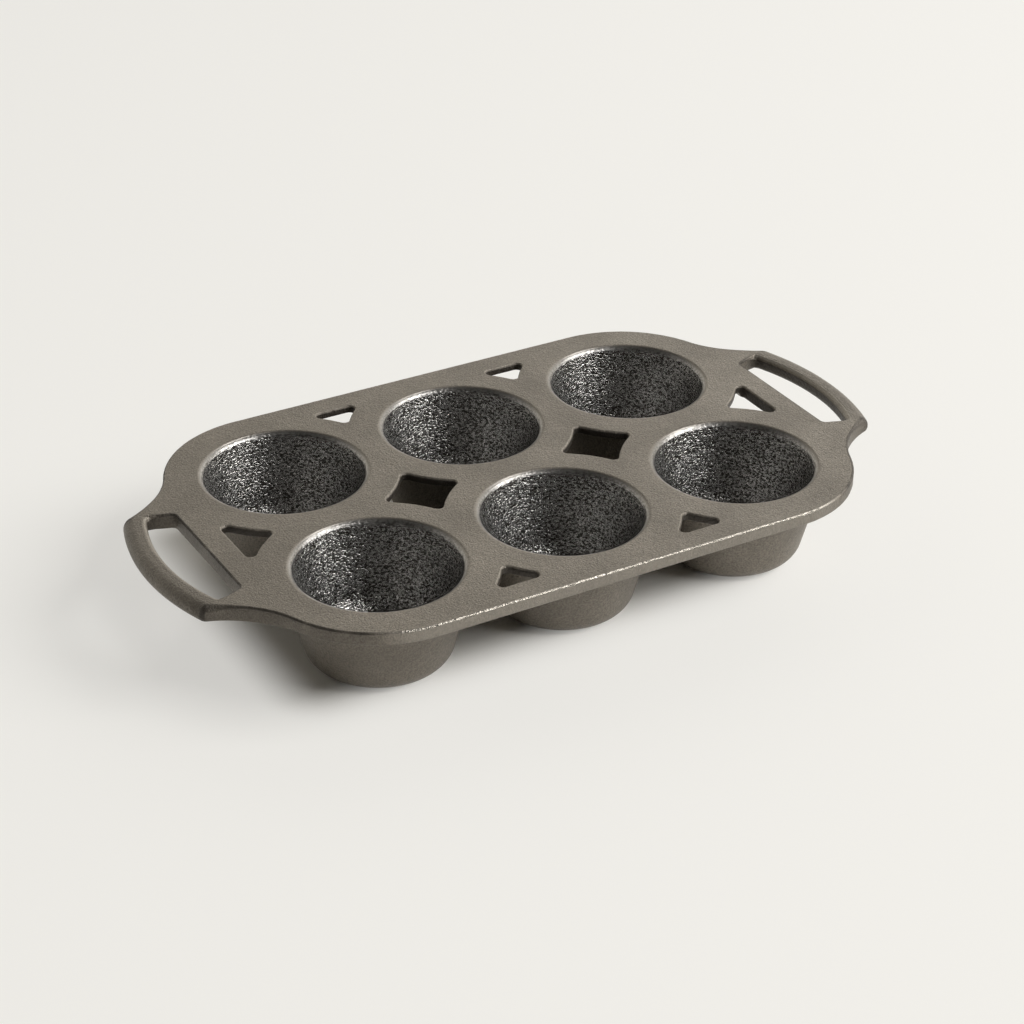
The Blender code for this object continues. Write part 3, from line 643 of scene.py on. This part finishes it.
# The six cups hang from the deck and are the same iron, thinnest at the wall. The core sand leaves
# their insides pebbled, and layers of baked oil have turned them near black. Outside they stay as
# brown and smooth as the rest, and they stand on flat round bottoms.
LIP_ROUNDING = 0.003
BASE_RADIUS = 0.0245
BASE_ROUNDING = 0.012
COLLAR_RADIUS = 0.0444
SHOULDER_HEIGHT = 0.003
SHOULDER_STEPS = 6
FLOOR_THICKNESS = 0.0045
FLOOR_ROUNDING = 0.014
INSIDE_SPACING = 0.0005
LIP_SPACING = INSIDE_SPACING / 1.5
OUTSIDE_SPACING = 0.0014
BOTTOM_SPACING = 3 * OUTSIDE_SPACING
PEBBLE_SIZE = 0.0012
PEBBLE_STRETCH = 1.6         # the core was turned, so the pebbles are longer round the cup than up it
PEBBLE_HEIGHT = 0.00030
DOME_SHARE = 0.7             # of that height, and the rest is a slower swell
SWELL_SHARE = 0.3
SWELL_SCALE = 0.45
WRINKLE_SIZE = 0.0009        # finer wrinkles on and between the pebbles
VALLEY_SHADE_SPAN = (0.55, 0.41)   # noise over which a wrinkle's top turns into its valley's painted shade
LIP_IRON = (0.22, 0.205, 0.185, 1)
WRINKLE_TOP = (0.45, 0.442, 0.432, 1)
# painted shade, darker in each wrinkle's valley
VALLEY_SHADE = (0.070, 0.065, 0.058, 1)
BAKED_ROUGHNESS = (0.36, 0.25)    # on the smooth lip, and on the pebbled wall
BAKED_RELIEF = (0.3, 1.75)        # likewise
BAKED_METAL = 0.90
OUTSIDE_WEAR = -0.10         # the oil's skin outside, where 0 is bare and -1 is thick
PEBBLED_FROM = 0.0026        # below the top, the pebbles are at their full height from here down
SEASONED_FROM = 0.0005       # and the baked oil is at its full colour


def along(start, end, spacing):
    """Points of a straight stretch of the profile, without its end."""
    steps = max(1, math.ceil(math.dist(start, end) / spacing))
    return run(None, 0, start, end, steps)


def bend(centre, radius, first, last, spacing):
    """Points of a rounding of the profile: 0 faces outwards, -90 degrees straight down."""
    steps = max(4, math.ceil(abs(last - first) * radius / spacing))
    for i in range(steps + 1):
        angle = first + (last - first) * i / steps
        yield (centre[0] + radius * math.cos(angle), centre[1] + radius * math.sin(angle))


def cup_profile():
    """Half section of a cup as (distance from the axis, height): up the inside, over the lip, and
    down the outside. Also gives how many of its points are inside."""
    down, up = -math.pi / 2, math.pi / 2
    web = TOP - WEB_THICKNESS
    wall_top = (COLLAR_RADIUS, web - SHOULDER_HEIGHT)
    base = (BASE_RADIUS, BASE_ROUNDING)
    dx, dz = wall_top[0] - base[0], wall_top[1] - base[1]
    draft = math.atan2(dx, dz) - math.asin(BASE_ROUNDING / math.hypot(dx, dz))
    lip = (LIP_RADIUS, TOP - LIP_ROUNDING)
    lip_foot = (lip[0] - LIP_ROUNDING * math.cos(draft), lip[1] + LIP_ROUNDING * math.sin(draft))
    floor_z = FLOOR_THICKNESS + FLOOR_ROUNDING
    fall = lip_foot[1] - (floor_z - FLOOR_ROUNDING * math.sin(draft))
    floor_x = lip_foot[0] - fall * math.tan(draft) - FLOOR_ROUNDING * math.cos(draft)
    floor = list(bend((floor_x, floor_z), FLOOR_ROUNDING, down, -draft, INSIDE_SPACING))
    points = along((INSIDE_SPACING, FLOOR_THICKNESS), floor[0], INSIDE_SPACING) + floor
    points += along(floor[-1], lip_foot, INSIDE_SPACING)[1:]
    points += list(bend(lip, LIP_ROUNDING, math.pi - draft, up, LIP_SPACING))
    inside = len(points)
    points += [(SEAT_RADIUS, TOP), (SHOULDER_RADIUS, web)]
    reach = SHOULDER_RADIUS - COLLAR_RADIUS
    for i in range(1, SHOULDER_STEPS + 1):
        angle = math.pi / 2 * i / SHOULDER_STEPS
        rise = SHOULDER_HEIGHT * math.cos(angle)
        points.append((SHOULDER_RADIUS - reach * math.sin(angle), wall_top[1] + rise))
    outer = list(bend(base, BASE_ROUNDING, -draft, down, OUTSIDE_SPACING))
    points += along(wall_top, outer[0], OUTSIDE_SPACING)[1:] + outer
    points += along(outer[-1], (INSIDE_SPACING, 0.0), BOTTOM_SPACING)[1:]
    return points, inside


def pebbles(x, y, z):
    """Height of the pebbled skin at a place, from 0 to about 1."""
    spot = Vector((x / PEBBLE_STRETCH, y / PEBBLE_STRETCH, z)) / PEBBLE_SIZE
    domes = 1 - min(noise.voronoi(spot)[0][0], 1.0)
    return DOME_SHARE * domes + SWELL_SHARE * (0.5 + noise.noise(spot * SWELL_SCALE))


def cup_iron():
    """Near-black, oily and pebbled inside, with painted shade in each wrinkle's valley; the deck's
    brown and a smooth skin outside. The depth mask holds millimetres below the top inside, 0 on
    the top, and -1 outside."""
    made = bpy.data.materials.new("seasoned_cup_iron")
    made.use_nodes = True
    tree = made.node_tree
    shader = tree.nodes["Principled BSDF"]
    depth = mask(tree, "depth")
    outside = reckon(tree, "MULTIPLY", depth, -1.0)
    oiled = stretch(tree, depth, 0.0, 1000 * SEASONED_FROM)
    pebbled = stretch(tree, depth, 0.0, 1000 * PEBBLED_FROM)
    skin = {"Grain": GRAIN_SIZE, "Hollow": HOLLOW_SIZE, "Patch": PATCH_SIZE,
            "Wear and shading": between(tree, outside, 0.0, OUTSIDE_WEAR)}
    iron = place(tree, "ShaderNodeGroup", skin, node_tree=CAST_IRON).outputs
    spot = place(tree, "ShaderNodeTexCoord", {}).outputs["Object"]
    drawn_out = reckon_vector(tree, "MULTIPLY", spot, (1 / PEBBLE_STRETCH, 1 / PEBBLE_STRETCH, 1.0))[0]
    wrinkled = {"Vector": drawn_out, "Scale": 1 / WRINKLE_SIZE,
                "Detail": 2.0, "Roughness": 0.55, "Distortion": 0.4}
    wrinkles = place(tree, "ShaderNodeTexNoise", wrinkled).outputs["Fac"]
    # Painted shade: each wrinkle's valley is coloured darker than its top.
    valley_shade = reckon(tree, "MULTIPLY", stretch(tree, wrinkles, *VALLEY_SHADE_SPAN), pebbled)
    black = tint(tree, valley_shade, tint(tree, pebbled, LIP_IRON, WRINKLE_TOP), VALLEY_SHADE)
    tree.links.new(tint(tree, oiled, iron["Iron"], black), shader.inputs["Base Color"])
    baked_roughness = between(tree, pebbled, *BAKED_ROUGHNESS)
    tree.links.new(between(tree, oiled, iron["Roughness"], baked_roughness), shader.inputs["Roughness"])
    tree.links.new(between(tree, oiled, SEASONED_METAL, BAKED_METAL), shader.inputs["Metallic"])
    baked_height = reckon(tree, "MULTIPLY", wrinkles, between(tree, pebbled, *BAKED_RELIEF))
    height = between(tree, oiled, iron["Height"], baked_height)
    tree.links.new(raised(tree, height), shader.inputs["Normal"])
    return made


def make_cup(name, centre, iron):
    """The profile turned about the cup's axis, its inside pushed up into pebbles."""
    profile, inside = cup_profile()
    cup = Casting("depth")
    rings = []
    for k, (radius, z) in enumerate(profile):
        if k >= inside - 1:
            flat_ring = [(x, y, z) for x, y in circle(centre, radius)]
            rings.append(cup.ring(flat_ring, -1.0 if k > inside else 0.0))
            continue
        before, after = profile[max(k - 1, 0)], profile[k + 1]
        ahead = Vector((after[0] - before[0], after[1] - before[1])).normalized()
        pebbled = ease((TOP - z) / PEBBLED_FROM)
        ring = []
        for x, y in circle(centre, radius):
            push = PEBBLE_HEIGHT * pebbled * pebbles(x, y, z)
            ux, uy = (x - centre[0]) / radius, (y - centre[1]) / radius
            ring.append((x - ahead.y * push * ux, y - ahead.y * push * uy, z + ahead.x * push))
        rings.append(cup.ring(ring, 1000 * (TOP - z)))
    for low, high in zip(rings, rings[1:]):
        cup.strip(low, high, inward=True)
    cup.faces.append(tuple(rings[0]))
    cup.faces.append(tuple(rings[-1][::-1]))
    return cup.pour(f"{name}_casting", iron)


seasoned_iron = cup_iron()
for name, centre in cup_places.items():
    cup_piece = make_cup(name, centre, seasoned_iron)
    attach(cup_piece, "root")
    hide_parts(name)

# Each handle is a loop of the same pour: two horns run out of the deck's end and carry a bowed grip.
# Its top outer edge is well rounded for the palm, and hands and cloths have worn it smooth. The
# place where a maker would cast a name is left plain.
GRIP_WIDTH = 0.0107
GRIP_DEPTH = 0.0083
GRIP_OUTER_ROUNDING = 0.0053
GRIP_INNER_ROUNDING = 0.0025
GRIP_UNDER_ROUNDING = 0.0027
GRIP_OUTER_BOW = 0.132
GRIP_INNER_BOW = 0.110
HORN_NOSE = 0.004
HORN_STEPS = 18
NOSE_STEPS = 16
GRIP_STEPS = 44
GRIP_WEAR = -0.30            # a thin even coat of oil, as palms leave it
INNER_EDGE_WEAR = 0.5
# painted shade: the grip's inner side, towards the finger opening, is as dark as a thick skin of oil
INNER_SIDE_SHADE = -1.0
NOSE_AT = HORN_STEPS + NOSE_STEPS / 2
NOSE_DARKENED = 7               # sections on either side of the horn's nose where the oil and painted dark reflection are thickest
HANDLE_HOLLOW_SIZE = 3.4     # millimetres


def handle_rails():
    """Matching points of the handle's outer and inner side, from the seam at +Y to the one at -Y,
    with how far each section has turned from horn (0) into grip (1)."""
    end_wall, hollow, _ = deck_sides()
    grip = Round((TIP_X - GRIP_OUTER_BOW, 0.0), GRIP_OUTER_BOW, 1)
    inner_grip = Round((TIP_X - GRIP_WIDTH - GRIP_INNER_BOW, 0.0), GRIP_INNER_BOW, -1)
    seam = Straight(0.0, SEAM_X)
    nose = crossing(grip.grown(-HORN_NOSE), hollow.grown(-HORN_NOSE), (TIP_X, HORN_HALF_SPAN))
    near = crossing(inner_grip, end_wall, (TIP_X, OPENING_HALF_LENGTH))
    corner = crossing(inner_grip.grown(OPENING_ROUNDING), end_wall.grown(OPENING_ROUNDING), near)
    outer_start = crossing(seam, hollow, (SEAM_X, HORN_HALF_SPAN))
    inner_start = crossing(seam, end_wall, (SEAM_X, OPENING_HALF_LENGTH))
    outer = run(hollow.centre, 1, outer_start, hollow.foot(nose), HORN_STEPS)
    outer += run(nose, -1, hollow.foot(nose), grip.foot(nose), NOSE_STEPS)
    outer += run(grip.centre, -1, grip.foot(nose), (TIP_X, 0.0), GRIP_STEPS) + [(TIP_X, 0.0)]
    inner_middle = (TIP_X - GRIP_WIDTH, 0.0)
    inner = run(None, 0, inner_start, end_wall.foot(corner), HORN_STEPS)
    inner += run(corner, -1, end_wall.foot(corner), inner_grip.foot(corner), NOSE_STEPS)
    inner += run(inner_grip.centre, -1, inner_grip.foot(corner), inner_middle, GRIP_STEPS) + [inner_middle]
    turned = [ease(i / (HORN_STEPS + NOSE_STEPS)) for i in range(len(outer))]
    for half in (outer, inner):
        half += [(x, -y) for x, y in half[-2::-1]]
    return np.array(outer), np.array(inner), turned + turned[-2::-1]


def side_stretch(rail, other):
    """How much longer than square, at most twice, a rounding is where a section crosses its side at
    a slant."""
    ahead = np.gradient(rail, axis=0)
    ahead /= np.linalg.norm(ahead, axis=1)[:, None]
    across = (rail - other) / np.linalg.norm(rail - other, axis=1)[:, None]
    square = np.abs(across[:, 0] * ahead[:, 1] - across[:, 1] * ahead[:, 0])
    return 1 / np.maximum(square, 0.5)


def corner_of_section(radius, steps, first):
    """How far in from the side and from the flat a rounding's points lie, in the order of travel."""
    for i in range(steps + 1):
        angle = first + math.pi / 2 * i / steps
        yield radius * (1 - abs(math.cos(angle))), radius * (1 - abs(math.sin(angle)))


def rounding_wear(corner, radius, flat_wear, edge_wear_and_reflection, side_wear_and_shade):
    """Wear at the points of an upper rounding, from the flat over the edge to the side."""
    for spread, lift in corner:
        up, out = 1 - lift / radius, 1 - spread / radius
        turned_up = math.sqrt(2 * abs(up * out))
        plain = flat_wear if up > out else side_wear_and_shade
        yield max(plain + (edge_wear_and_reflection - plain) * min(turned_up, 1.0), -1.0)


def make_handle(name, turn, iron):
    """Rounded sections lofted along the rails. turn is 1 at +X, and -1 swings it round to -X."""
    outer, inner, turned = handle_rails()
    slant_out, slant_in = side_stretch(outer, inner), side_stretch(inner, outer)
    end_wall, hollow, _ = deck_sides()
    seam = Straight(0.0, SEAM_X)
    handle = Casting("wear_and_shading")
    rings = []
    for k, share in enumerate(turned):
        across = (outer[k] - inner[k]) / np.linalg.norm(outer[k] - inner[k])
        at_seam = k in (0, len(turned) - 1)
        half = 1 if k == 0 else -1

        def spot(on_outer, spread):
            if at_seam:
                side = hollow if on_outer else end_wall
                x, y = crossing(seam, side.grown(-spread), (SEAM_X, HORN_HALF_SPAN))
                return (x, half * y)
            rail, slant, way = (outer, slant_out, -1) if on_outer else (inner, slant_in, 1)
            return rail[k] + way * across * spread * slant[k]

        def mixed(horn, grip):
            return horn + (grip - horn) * share

        under = mixed(UNDER_ROUNDING, GRIP_UNDER_ROUNDING)
        bottom = TOP - mixed(ROOT_DEPTH, GRIP_DEPTH)
        outer_edge = mixed(EDGE_ROUNDING, GRIP_OUTER_ROUNDING)
        inner_edge = mixed(EDGE_ROUNDING, GRIP_INNER_ROUNDING)
        corners = ((False, under, UNDER_STEPS, math.pi, bottom, 1),
                   (True, under, UNDER_STEPS, math.pi * 1.5, bottom, 1),
                   (True, outer_edge, UPPER_STEPS, 0.0, TOP, -1),
                   (False, inner_edge, UPPER_STEPS, math.pi / 2, TOP, -1))
        horn_edge, horn_side = HORN_OIL_AND_REFLECTION
        # Oil with a painted dark reflection is thickest at the horn's nose.
        tip = math.exp(-((min(k, len(turned) - 1 - k) - NOSE_AT) / NOSE_DARKENED) ** 2)
        flat_wear = mixed(0.0, GRIP_WEAR)
        outer_wear_and_reflection = (mixed(horn_edge, GRIP_WEAR) - tip, mixed(horn_side, GRIP_WEAR) - tip)
        # The inner side carries painted shade.
        inner_wear_and_shade = (mixed(horn_edge, INNER_EDGE_WEAR), mixed(horn_side, INNER_SIDE_SHADE))
        ring, wear_and_shading = [], []
        for on_outer, radius, steps, first, flat, way in corners:
            corner = list(corner_of_section(radius, steps, first))
            edge_wear_and_reflection, side_wear_and_shade = outer_wear_and_reflection if on_outer else inner_wear_and_shade
            worn = [side_wear_and_shade] * len(corner)
            if way < 0:
                worn = list(rounding_wear(corner, radius, flat_wear, edge_wear_and_reflection, side_wear_and_shade))
            guard = (radius + GUARD, 0.0)
            ends_on_flat = on_outer == (way < 0)
            corner = corner + [guard] if ends_on_flat else [guard] + corner
            worn = worn + [flat_wear] if ends_on_flat else [flat_wear] + worn
            for (spread, lift), value in zip(corner, worn):
                x, y = spot(on_outer, spread)
                ring.append((turn * x, turn * y, flat + way * lift))
                wear_and_shading.append(value)
        rings.append(handle.ring(ring, wear_and_shading))
    for low, high in zip(rings, rings[1:]):
        handle.strip(low, high)
    handle.faces.append(tuple(rings[0][::-1]))
    handle.faces.append(tuple(rings[-1]))
    return handle.pour(f"{name}_casting", iron)


worn_iron = bare_iron("cast_handle_iron", HANDLE_HOLLOW_SIZE)
for name, turn in (("handle_right", 1), ("handle_left", -1)):
    handle_piece = make_handle(name, turn, worn_iron)
    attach(handle_piece, "root")
    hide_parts(name)

# The pan stands on a seamless sheet of matt, warm white paper, wide enough to run past the usual
# views. It throws light back at the cups' outer walls and keeps the pan's soft shadow, which a little
# brightness of the sheet's own lightens for the eye, away from the cups' feet.
PAPER_HALF_WIDTH = 60.0
PAPER_COLOUR = (0.932, 0.918, 0.88, 1)
PAPER_ROUGHNESS = 0.95
PAPER_GLOSS = 0.1
SHADOW_MIDDLE = (-0.02, 0.016, 0.0)     # the shadow's deep part lies a little away from the large lamp
SHADOW_HALF = (0.115, 0.075, 0.0)
LIFT_RUN = 0.034             # outside it, the lightening grows over this stretch
SHADOW_LIFT = 0.64           # to this share of the sheet's own brightness
OPEN_LEVEL = 0.95            # which is that of the sheet in the open
paper_mesh = bpy.data.meshes.new("paper")
paper_corners = [(-1, -1), (1, -1), (1, 1), (-1, 1)]
paper_mesh.from_pydata([(PAPER_HALF_WIDTH * x, PAPER_HALF_WIDTH * y, 0.0) for x, y in paper_corners],
                       [], [(0, 1, 2, 3)])
paper = bpy.data.objects.new("paper", paper_mesh)
bpy.context.scene.collection.objects.link(paper)
paper_material = bpy.data.materials.new("warm_white_paper")
paper_material.use_nodes = True
paper_tree = paper_material.node_tree
paper_shader = paper_tree.nodes["Principled BSDF"]
paper_shader.inputs["Base Color"].default_value = PAPER_COLOUR
paper_shader.inputs["Roughness"].default_value = PAPER_ROUGHNESS
paper_shader.inputs["Specular IOR Level"].default_value = PAPER_GLOSS
paper_spot = place(paper_tree, "ShaderNodeTexCoord", {}).outputs["Object"]
from_middle = reckon_vector(paper_tree, "SUBTRACT", paper_spot, SHADOW_MIDDLE)[0]
from_middle = reckon_vector(paper_tree, "ABSOLUTE", from_middle)[0]
past_shadow = reckon_vector(paper_tree, "SUBTRACT", from_middle, SHADOW_HALF)[0]
past_shadow = reckon_vector(paper_tree, "MAXIMUM", past_shadow)[0]
from_shadow = reckon_vector(paper_tree, "LENGTH", past_shadow)[1]
lift_span = {"Value": from_shadow, "From Max": LIFT_RUN, "To Max": SHADOW_LIFT}
lifted = place(paper_tree, "ShaderNodeMapRange", lift_span, interpolation_type="SMOOTHSTEP").outputs[0]
ray = place(paper_tree, "ShaderNodeLightPath", {}).outputs
seen_ray = reckon(paper_tree, "MAXIMUM", ray["Is Camera Ray"], ray["Is Glossy Ray"])
seen_ray = reckon(paper_tree, "MAXIMUM", seen_ray, ray["Is Transmission Ray"])
own_light = place(paper_tree, "ShaderNodeEmission", {"Color": PAPER_COLOUR, "Strength": OPEN_LEVEL})
mixed_paper = place(paper_tree, "ShaderNodeMixShader", {0: reckon(paper_tree, "MULTIPLY", lifted, seen_ray)})
paper_tree.links.new(paper_shader.outputs[0], mixed_paper.inputs[1])
paper_tree.links.new(own_light.outputs[0], mixed_paper.inputs[2])
paper_tree.links.new(mixed_paper.outputs[0], paper_tree.nodes["Material Output"].inputs["Surface"])
paper_mesh.materials.append(paper_material)

# One large soft window-like lamp stands on the right, in front of the pan. Two weak ones stand
# behind it: one on the right, which the deck's gloss shows, and one on the left. The room's walls
# are dark in front of the pan and bright behind it, under a dim ceiling.
LAMPS = {                    # level is how bright a white floor looks under that lamp alone
    "window_lamp": {"direction": (0.64, -0.47, 0.61), "distance": 4.2, "width": 2.5, "level": 0.70},
    "sheen_lamp": {"direction": (0.68, 0.54, 0.50), "distance": 3.0, "width": 1.8, "level": 0.06},
    "fill_lamp": {"direction": (-0.62, 0.47, 0.60), "distance": 3.0, "width": 1.6, "level": 0.02},
}
LAMP_COLOUR = (1.0, 0.995, 0.98)
ROOM_COLOUR = (1.0, 0.955, 0.86, 1)
WALLS_LEVELS = (0.03, 1.10)  # strength in front of the pan and behind it
WALLS_SPAN = (-0.35, 0.55)   # how far a wall faces BEHIND, where the dark ends and where it is bright
BEHIND = (0.508, 0.861, 0.0)
WALLS_TOP = 0.35             # how steeply up the walls end and the ceiling begins
CEILING_FROM = 0.75
CEILING_LEVEL = 0.04
for lamp_name, lamp_plan in LAMPS.items():
    direction, distance = Vector(lamp_plan["direction"]).normalized(), lamp_plan["distance"]
    lamp_data = bpy.data.lights.new(lamp_name, "AREA")
    lamp_data.shape = "SQUARE"
    lamp_data.size = lamp_plan["width"]
    lamp_data.color = LAMP_COLOUR
    lamp_data.energy = lamp_plan["level"] * math.pi ** 2 * distance ** 2 / direction.z
    lamp = bpy.data.objects.new(lamp_name, lamp_data)
    lamp.location = direction * distance
    lamp.rotation_euler = direction.to_track_quat("Z", "Y").to_euler()
    bpy.context.scene.collection.objects.link(lamp)
room = bpy.data.worlds.new("pale_room")
room.use_nodes = True
room_tree = room.node_tree
room_view = place(room_tree, "ShaderNodeTexCoord", {}).outputs["Generated"]
height_seen = place(room_tree, "ShaderNodeSeparateXYZ", {"Vector": room_view}).outputs["Z"]
ceiling_share = stretch(room_tree, height_seen, WALLS_TOP, CEILING_FROM)
facing_back = reckon_vector(room_tree, "DOT_PRODUCT", room_view, BEHIND)[1]
walls_light = between(room_tree, stretch(room_tree, facing_back, *WALLS_SPAN), *WALLS_LEVELS)
room_light = room_tree.nodes["Background"]
room_light.inputs["Color"].default_value = ROOM_COLOUR
room_level = between(room_tree, ceiling_share, walls_light, CEILING_LEVEL)
room_tree.links.new(room_level, room_light.inputs["Strength"])
bpy.context.scene.world = room
bpy.context.scene.view_settings.view_transform = "Standard"

# The camera stands in front of the pan and to its left, more than a metre away, and looks down on
# it through a long lens. It is rolled by less than a degree.
LENS_LENGTH = 87.7           # millimetres, as the sensor's width is
SENSOR_WIDTH = 36.0
CAMERA_AZIMUTH = math.radians(-30.52)
CAMERA_ELEVATION = math.radians(30.32)
CAMERA_ROLL = math.radians(0.69)
CAMERA_DISTANCE = 1.198
CAMERA_TARGET = Vector((-0.02207, -0.03951, TOP))
back = Vector((math.sin(CAMERA_AZIMUTH) * math.cos(CAMERA_ELEVATION),
               -math.cos(CAMERA_AZIMUTH) * math.cos(CAMERA_ELEVATION), math.sin(CAMERA_ELEVATION)))
level_right = Vector((math.cos(CAMERA_AZIMUTH), math.sin(CAMERA_AZIMUTH), 0.0))
level_up = back.cross(level_right)
right = level_right * math.cos(CAMERA_ROLL) + level_up * math.sin(CAMERA_ROLL)
upward = level_up * math.cos(CAMERA_ROLL) - level_right * math.sin(CAMERA_ROLL)
camera_data = bpy.data.cameras.new("camera")
camera_data.lens = LENS_LENGTH
camera_data.sensor_width = SENSOR_WIDTH
camera = bpy.data.objects.new("camera", camera_data)
turn_matrix = Matrix((right, upward, back)).transposed().to_4x4()
camera.matrix_world = Matrix.Translation(CAMERA_TARGET + back * CAMERA_DISTANCE) @ turn_matrix
bpy.context.scene.collection.objects.link(camera)
bpy.context.scene.camera = camera
